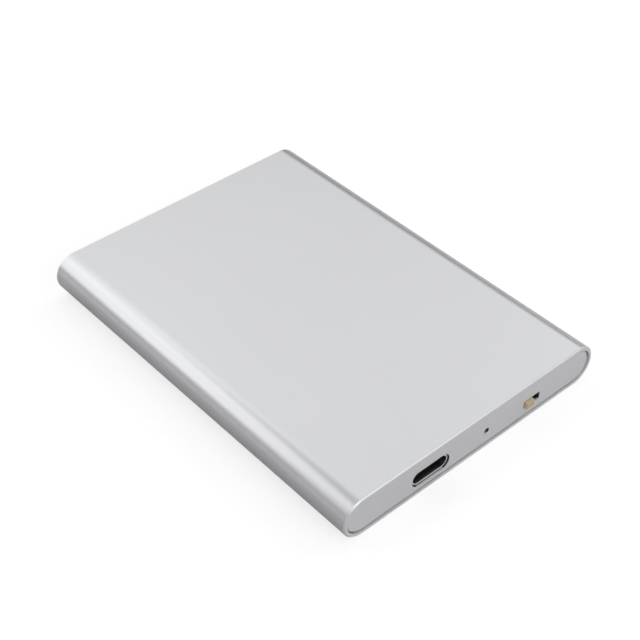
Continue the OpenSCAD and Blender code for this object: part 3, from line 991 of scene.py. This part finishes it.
@dataclass
class ContactRows:
    """The connector's two rows of gold contacts on its tongue.

    Attributes:
        count: Contacts in a row.
        pitch: Distance between their middles.
        centre_x: Middle of the rows.
        width: Width of a contact.
        thick: Thickness of a contact's strip.
        taper: Length of the taper on a strip's nose.
        bend: Cut of the outer corner where a strip turns down.
        edge: Rounding of a strip's edges.
        edge_steps: Faces in that rounding.
        nose_y: Where the strips start.
        faces_z: Height of the strips' outer faces, lower row and upper row.
        drops_y: Where each row turns down to the board.
        board_z: Height of the board's top.
        feet: Length of each row's feet.
    """

    count: int = 12
    pitch: float = 0.5 * MM
    centre_x: float = -11.2 * MM
    width: float = 0.25 * MM
    thick: float = 0.1 * MM
    taper: float = 0.04 * MM
    bend: float = 0.03 * MM
    edge: float = 0.02 * MM
    edge_steps: int = 2
    nose_y: float = -42.25 * MM
    faces_z: Flat = (3.38 * MM, 4.08 * MM)
    drops_y: Flat = (-37.25 * MM, -36.6 * MM)
    board_z: float = 2.1 * MM
    feet: Flat = (0.5 * MM, 0.8 * MM)

    def strip(self, upper: bool) -> bpy.types.Object:
        """Builds one contact strip with a tapered nose and a bent foot.

        Args:
            upper: Whether it is one of the upper row.

        Returns:
            The strip, centred on X = 0.
        """
        thick, nose, drop = self.thick, self.nose_y, self.drops_y[int(upper)]
        low = self.faces_z[1] - thick if upper else self.faces_z[0]
        high, foot, board = low + thick, drop + self.feet[int(upper)], self.board_z
        outline = [(nose + self.taper, low), (drop, low), (drop, board), (foot, board),
                   (foot, board + thick), (drop + thick, board + thick), (drop + thick, high - self.bend),
                   (drop + thick - self.bend, high), (nose + self.taper, high), (nose, (low + high) / 2)]
        build = bmesh.new()
        half = self.width / 2
        left, right = ([build.verts.new((x, y, z)) for y, z in outline] for x in (-half, half))
        build.faces.new(left)
        build.faces.new(right[::-1])
        skin(build, left, right)
        bmesh.ops.recalc_face_normals(build, faces=build.faces)
        piece = linked("contact_strip", mesh_of(build, "contact_strip"))
        return ease(piece, self.edge, self.edge_steps)

    def rule(self, strips: list[bpy.types.Object], finish: bpy.types.Material) -> RuleTree:
        """Writes the rule that sets two strips side by side in two rows.

        Args:
            strips: A strip of the lower row and one of the upper row.
            finish: The contacts' material.

        Returns:
            The rule's tree.
        """
        rule = RuleTree("contact_rule")
        rule.ask("Count", Port.COUNT, self.count)
        rule.ask("Pitch", Port.LENGTH, self.pitch)
        rule.ask("First", Port.LENGTH, self.centre_x - self.pitch * (self.count - 1) / 2)
        names = ("Lower Strip", "Upper Strip")
        for name, strip in zip(names, strips):
            rule.ask(name, Port.PIECE, strip)
        rule.ask("Finish", Port.FINISH, finish)
        step = rule.feed(rule.add("ShaderNodeCombineXYZ"), X="Pitch")
        start = rule.feed(rule.add("ShaderNodeCombineXYZ"), X="First")
        row = rule.feed(rule.add("GeometryNodeMeshLine", mode="OFFSET"), Count="Count")
        rule.join(start, 0, row, "Start Location")
        rule.join(step, 0, row, "Offset")
        whole = rule.add("GeometryNodeJoinGeometry")
        for name in names:
            strip = rule.feed(rule.add("GeometryNodeObjectInfo"), Object=name)
            placed = rule.add("GeometryNodeInstanceOnPoints")
            rule.join(row, 0, placed, "Points")
            rule.join(strip, "Geometry", placed, "Instance")
            rule.join(placed, 0, whole, 0)
        rule.finish(whole, 0, "Finish")
        return rule

    def build(self, finish: bpy.types.Material) -> bpy.types.Object:
        """Makes the contacts.

        Args:
            finish: Their material.

        Returns:
            The contacts.
        """
        strips = [self.strip(False), self.strip(True)]
        start = linked("contact_rows", bpy.data.meshes.new("contact_rows"))
        piece = self.rule(strips, finish).apply(start, SHARP_ANGLE)
        for strip in strips:
            bpy.data.objects.remove(strip)
        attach(piece, "drive")
        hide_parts("usb_contacts")
        return piece


@dataclass(frozen=True)
class SoftLamp:
    """One soft rectangular lamp, aimed at the drive.

    Attributes:
        name: The lamp's name.
        azimuth: Its turn about +Z in degrees; at 0 it hangs on the -Y side.
        elevation: Its height above the horizon in degrees.
        distance: Its distance from the drive in metres.
        width: Its width in metres.
        height: Its height in metres.
        glow: Its brightness, where 1 is white.
    """

    name: str
    azimuth: float
    elevation: float
    distance: float
    width: float
    height: float
    glow: float

    def hang(self) -> bpy.types.Object:
        """Hangs the lamp.

        Returns:
            The lamp's object.
        """
        turn, rise = math.radians(self.azimuth), math.radians(self.elevation)
        away = Vector((math.sin(turn) * math.cos(rise), -math.cos(turn) * math.cos(rise), math.sin(rise)))
        data = bpy.data.lights.new(self.name, "AREA")
        data.shape = "RECTANGLE"
        data.size, data.size_y = self.width, self.height
        data.energy = self.glow * math.pi * self.width * self.height
        lamp = linked(self.name, data)
        lamp.location = away * self.distance
        lamp.rotation_euler = (-away).to_track_quat("-Z", "Y").to_euler()
        return lamp


LAMPS = (
    SoftLamp("back_key", 135.0, 46.0, 1.0, 1.0, 0.8, 0.68),
    SoftLamp("left_soft", 210.0, 38.0, 0.9, 0.84, 0.62, 0.9),
    SoftLamp("back_high", 185.0, 52.0, 1.0, 0.8, 0.5, 0.2),
    SoftLamp("left_low", 238.0, 20.0, 1.0, 0.7, 0.4, 0.4),
    SoftLamp("right_soft", 84.0, 28.0, 1.0, 0.8, 0.7, 0.85),
    SoftLamp("front_right", 44.0, 28.0, 1.0, 0.72, 0.6, 0.6),
    SoftLamp("front_low", 12.0, 28.0, 1.0, 0.6, 0.6, 0.8),
    SoftLamp("front_left", 344.0, 30.0, 1.0, 0.8, 0.7, 1.04),
    SoftLamp("left_front", 305.0, 36.0, 1.0, 0.8, 0.6, 0.25),
    SoftLamp("left_side", 268.0, 34.0, 1.0, 0.7, 0.6, 0.15),
    SoftLamp("overhead", 0.0, 86.0, 1.0, 0.7, 0.7, 0.2),
)


@dataclass
class Studio:
    """Pale floor, soft lamps and a camera where the photograph was taken from.

    Attributes:
        floor_half: Half the floor's side in metres.
        floor_colour: The floor's colour.
        floor_roughness: The floor's roughness.
        lift: How far the floor's pale tone is lifted to white, in view and in reflections.
        painted_shade_reach: How far from the drive reflections show the lift in full; nearer in, less of
            it shows, a painted shade on the floor seen in reflections.
        footprint: Half the drive's width and length, less the round sides.
        lamp_reach: Where the floor beyond the lamps starts to need more lift, and where it needs it all.
        surround: The strength of the light from all round.
        mirrored_surround: The strength of the surround in reflections.
        floor_at: The floor's height, a hair below the drive.
        lens: The lens in millimetres.
        sensor: The width that the lens is given for, in millimetres.
        near_clip: How near to the camera things still show, in metres.
        camera_at: The camera's place in metres.
        azimuth: The camera's turn about +Z in degrees.
        elevation: The camera's height above the horizon in degrees.
    """

    floor_half: float = 3.0
    floor_colour: Colour = (0.68, 0.68, 0.68)
    floor_roughness: float = 0.9
    lift: float = 0.645
    painted_shade_reach: float = 0.2
    footprint: Flat = (0.028, 0.042)
    lamp_reach: Flat = (0.15, 1.2)
    surround: float = 0.08
    mirrored_surround: float = 0.17
    floor_at: float = -0.02 * MM
    lens: float = 74.777
    sensor: float = 36.0
    near_clip: float = 0.005
    camera_at: tuple[float, float, float] = (-0.13081, -0.14983, 0.18076)
    azimuth: float = -41.401
    elevation: float = 41.696

    def build(self) -> None:
        """Makes the whole set."""
        scene = bpy.context.scene
        scene.view_settings.view_transform = "Standard"
        self.camera(scene)
        self.world(scene)
        self.floor()
        for lamp in LAMPS:
            lamp.hang()

    def camera(self, scene: bpy.types.Scene) -> None:
        """Places the camera where the photograph was taken from.

        Args:
            scene: The scene that it looks at.
        """
        data = bpy.data.cameras.new("photo_camera")
        data.lens = self.lens
        data.sensor_width = self.sensor
        data.clip_start = self.near_clip
        eye = linked("photo_camera", data)
        eye.location = self.camera_at
        eye.rotation_euler = (math.radians(90.0 - self.elevation), 0.0, math.radians(self.azimuth))
        scene.camera = eye

    def world(self, scene: bpy.types.Scene) -> None:
        """Makes a dim surround that is white in view.

        Args:
            scene: The scene that it lights.
        """
        world = bpy.data.worlds.new("surround")
        scene.world = world
        world.use_nodes = True
        wirer = NodeWirer(world.node_tree)
        wirer.tree.nodes.clear()
        out = wirer.add("ShaderNodeOutputWorld")
        lit = wirer.add("ShaderNodeBackground")
        lit.inputs["Color"].default_value = WHITE
        rays = wirer.add("ShaderNodeLightPath")
        dim = wirer.add("ShaderNodeMapRange")
        dim.inputs["To Min"].default_value = self.surround
        dim.inputs["To Max"].default_value = self.mirrored_surround
        wirer.join(wirer.reflected(rays), "Value", dim, "Value")
        level = wirer.combine("MAXIMUM", (rays, "Is Camera Ray"), (dim, "Result"))
        wirer.join(level, "Value", lit, "Strength")
        wirer.join(lit, "Background", out, "Surface")

    def floor(self) -> None:
        """Lays the pale floor, lifted to white in view and in reflections, with its shadows kept and a
        painted shade round the drive in reflections.
        """
        h, z = self.floor_half, self.floor_at
        mesh = bpy.data.meshes.new("floor")
        mesh.from_pydata([(-h, -h, z), (h, -h, z), (h, h, z), (-h, h, z)], [], [(0, 1, 2, 3)])
        floor = linked("floor", mesh)
        board = NodeBoard("pale_floor")
        board.surface.inputs["Base Color"].default_value = (*self.floor_colour, 1.0)
        board.level("Roughness", self.floor_roughness)
        board.level("Specular IOR Level", 0.0)
        rays = board.add("ShaderNodeLightPath")
        # Painted shade: reflections near the drive see the floor without its lift, which darkens the
        # drive's lower sides.
        outside = self.rise(board, (0.0, self.painted_shade_reach), 0.0, 1.0)
        beside = board.combine("MULTIPLY", (board.reflected(rays), "Value"), (outside, "Result"))
        seen = board.combine("MAXIMUM", (rays, "Is Camera Ray"), (beside, "Value"))
        beyond = self.rise(board, self.lamp_reach, self.lift, 1.0)
        lift = board.combine("MULTIPLY", (seen, "Value"), (beyond, "Result"))
        board.surface.inputs["Emission Color"].default_value = WHITE
        board.join(lift, "Value", board.surface, "Emission Strength")
        mesh.materials.append(board.material)

    def rise(self, board: NodeBoard, reach: Flat, near: float, far: float) -> bpy.types.Node:
        """Adds a value that rises from the drive's footprint outwards.

        Args:
            board: The floor's material.
            reach: How far from the drive the rise starts and ends.
            near: The value where it starts.
            far: The value where it ends.

        Returns:
            The node whose result is the value.
        """
        mirrored = board.add("ShaderNodeVectorMath", operation="ABSOLUTE")
        board.join(board.place, "Object", mirrored, 0)
        beyond = board.add("ShaderNodeVectorMath", operation="SUBTRACT")
        board.join(mirrored, "Vector", beyond, 0)
        beyond.inputs[1].default_value = (*self.footprint, 0.0)
        outside = board.add("ShaderNodeVectorMath", operation="MAXIMUM")
        board.join(beyond, "Vector", outside, 0)
        away = board.add("ShaderNodeVectorMath", operation="LENGTH")
        board.join(outside, "Vector", away, 0)
        slope = board.add("ShaderNodeMapRange", interpolation_type="SMOOTHSTEP")
        board.join(away, "Value", slope, "Value")
        slope.inputs["From Min"].default_value, slope.inputs["From Max"].default_value = reach
        slope.inputs["To Min"].default_value = near
        slope.inputs["To Max"].default_value = far
        return slope


def report(piece: bpy.types.Object) -> None:
    """Logs a finished piece and the size of its mesh."""
    LOG.info("%s: %d faces", piece.name, len(piece.data.polygons))


def main() -> None:
    """Builds the set and dresses the drive."""
    logging.basicConfig(level=logging.INFO, format="%(name)s: %(message)s")
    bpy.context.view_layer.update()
    dresser = Dresser()
    dresser.dress()
    report(SleeveExtrusion().build(dresser.material(Slot.SLEEVE)))
    for part in EASED:
        report(part.build(dresser.material(part.slot)))
    report(ContactRows().build(dresser.material(Slot.GOLD)))
    Studio().build()


if __name__ == "__main__":
    main()
